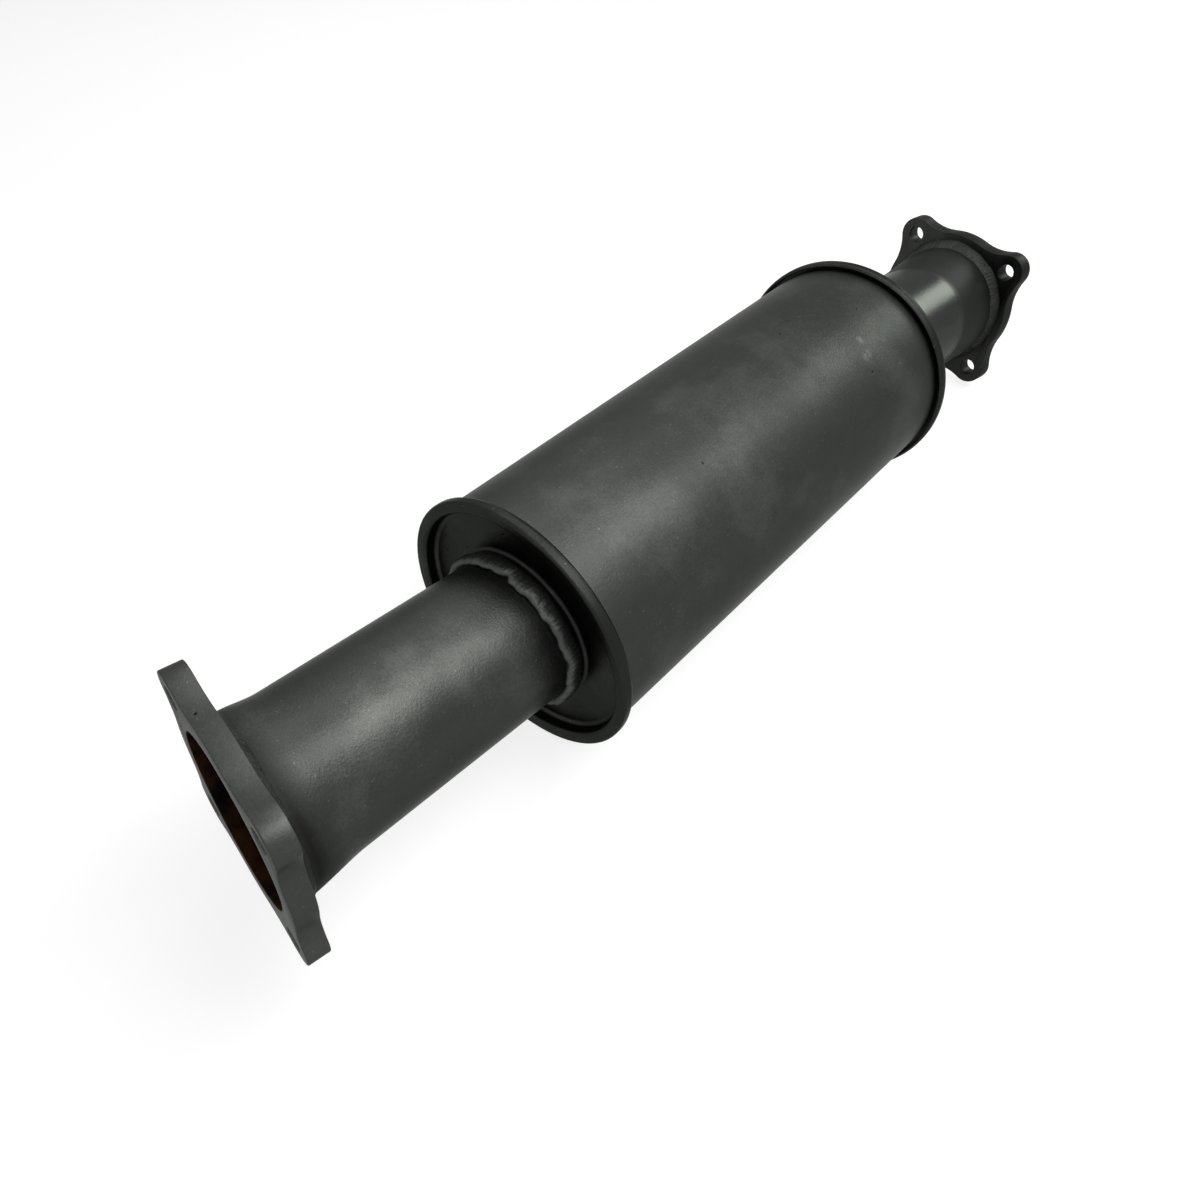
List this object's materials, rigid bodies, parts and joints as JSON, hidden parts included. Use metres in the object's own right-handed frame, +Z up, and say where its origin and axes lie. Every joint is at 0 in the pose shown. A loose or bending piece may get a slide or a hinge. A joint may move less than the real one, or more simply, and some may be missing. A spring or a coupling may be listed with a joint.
{
  "type": "resonator muffler",
  "caption": "Round straight-through exhaust resonator with rolled-lip end plates, slanted end pipes and four-eared bolt flanges that lie askew to the body.",
  "frame": {"origin": "middle of the outer box on the surface the part lies on", "axes": "+X along the body from inlet to outlet, +Z up, body level on its rolled lips"},
  "size_m": [0.6366, 0.1388, 0.1388],
  "materials": {
    "satin_graphite_paint": "satin dark graphite heat-resistant paint",
    "painted_weld": "the same paint over rippled weld metal",
    "bare_steel": "bare steel browned by heat",
    "steel_wool": "matted steel wool",
    "glass_fibre": "packed glass fibre"
  },
  "bodies": {
    "root": {"shell": "satin_graphite_paint", "shell_seam_weld": "painted_weld", "inlet_end_plate": "satin_graphite_paint", "outlet_end_plate": "satin_graphite_paint", "inlet_pipe": "satin_graphite_paint", "outlet_pipe": "satin_graphite_paint", "inlet_flange": "satin_graphite_paint", "outlet_flange": "satin_graphite_paint", "inlet_plate_weld": "painted_weld", "outlet_plate_weld": "painted_weld", "inlet_flange_weld": "painted_weld", "outlet_flange_weld": "painted_weld", "perforated_core": "bare_steel", "inlet_core_weld": "bare_steel", "outlet_core_weld": "bare_steel", "core_wool": "steel_wool", "packing": "glass_fibre"}
  },
  "joints": []
}
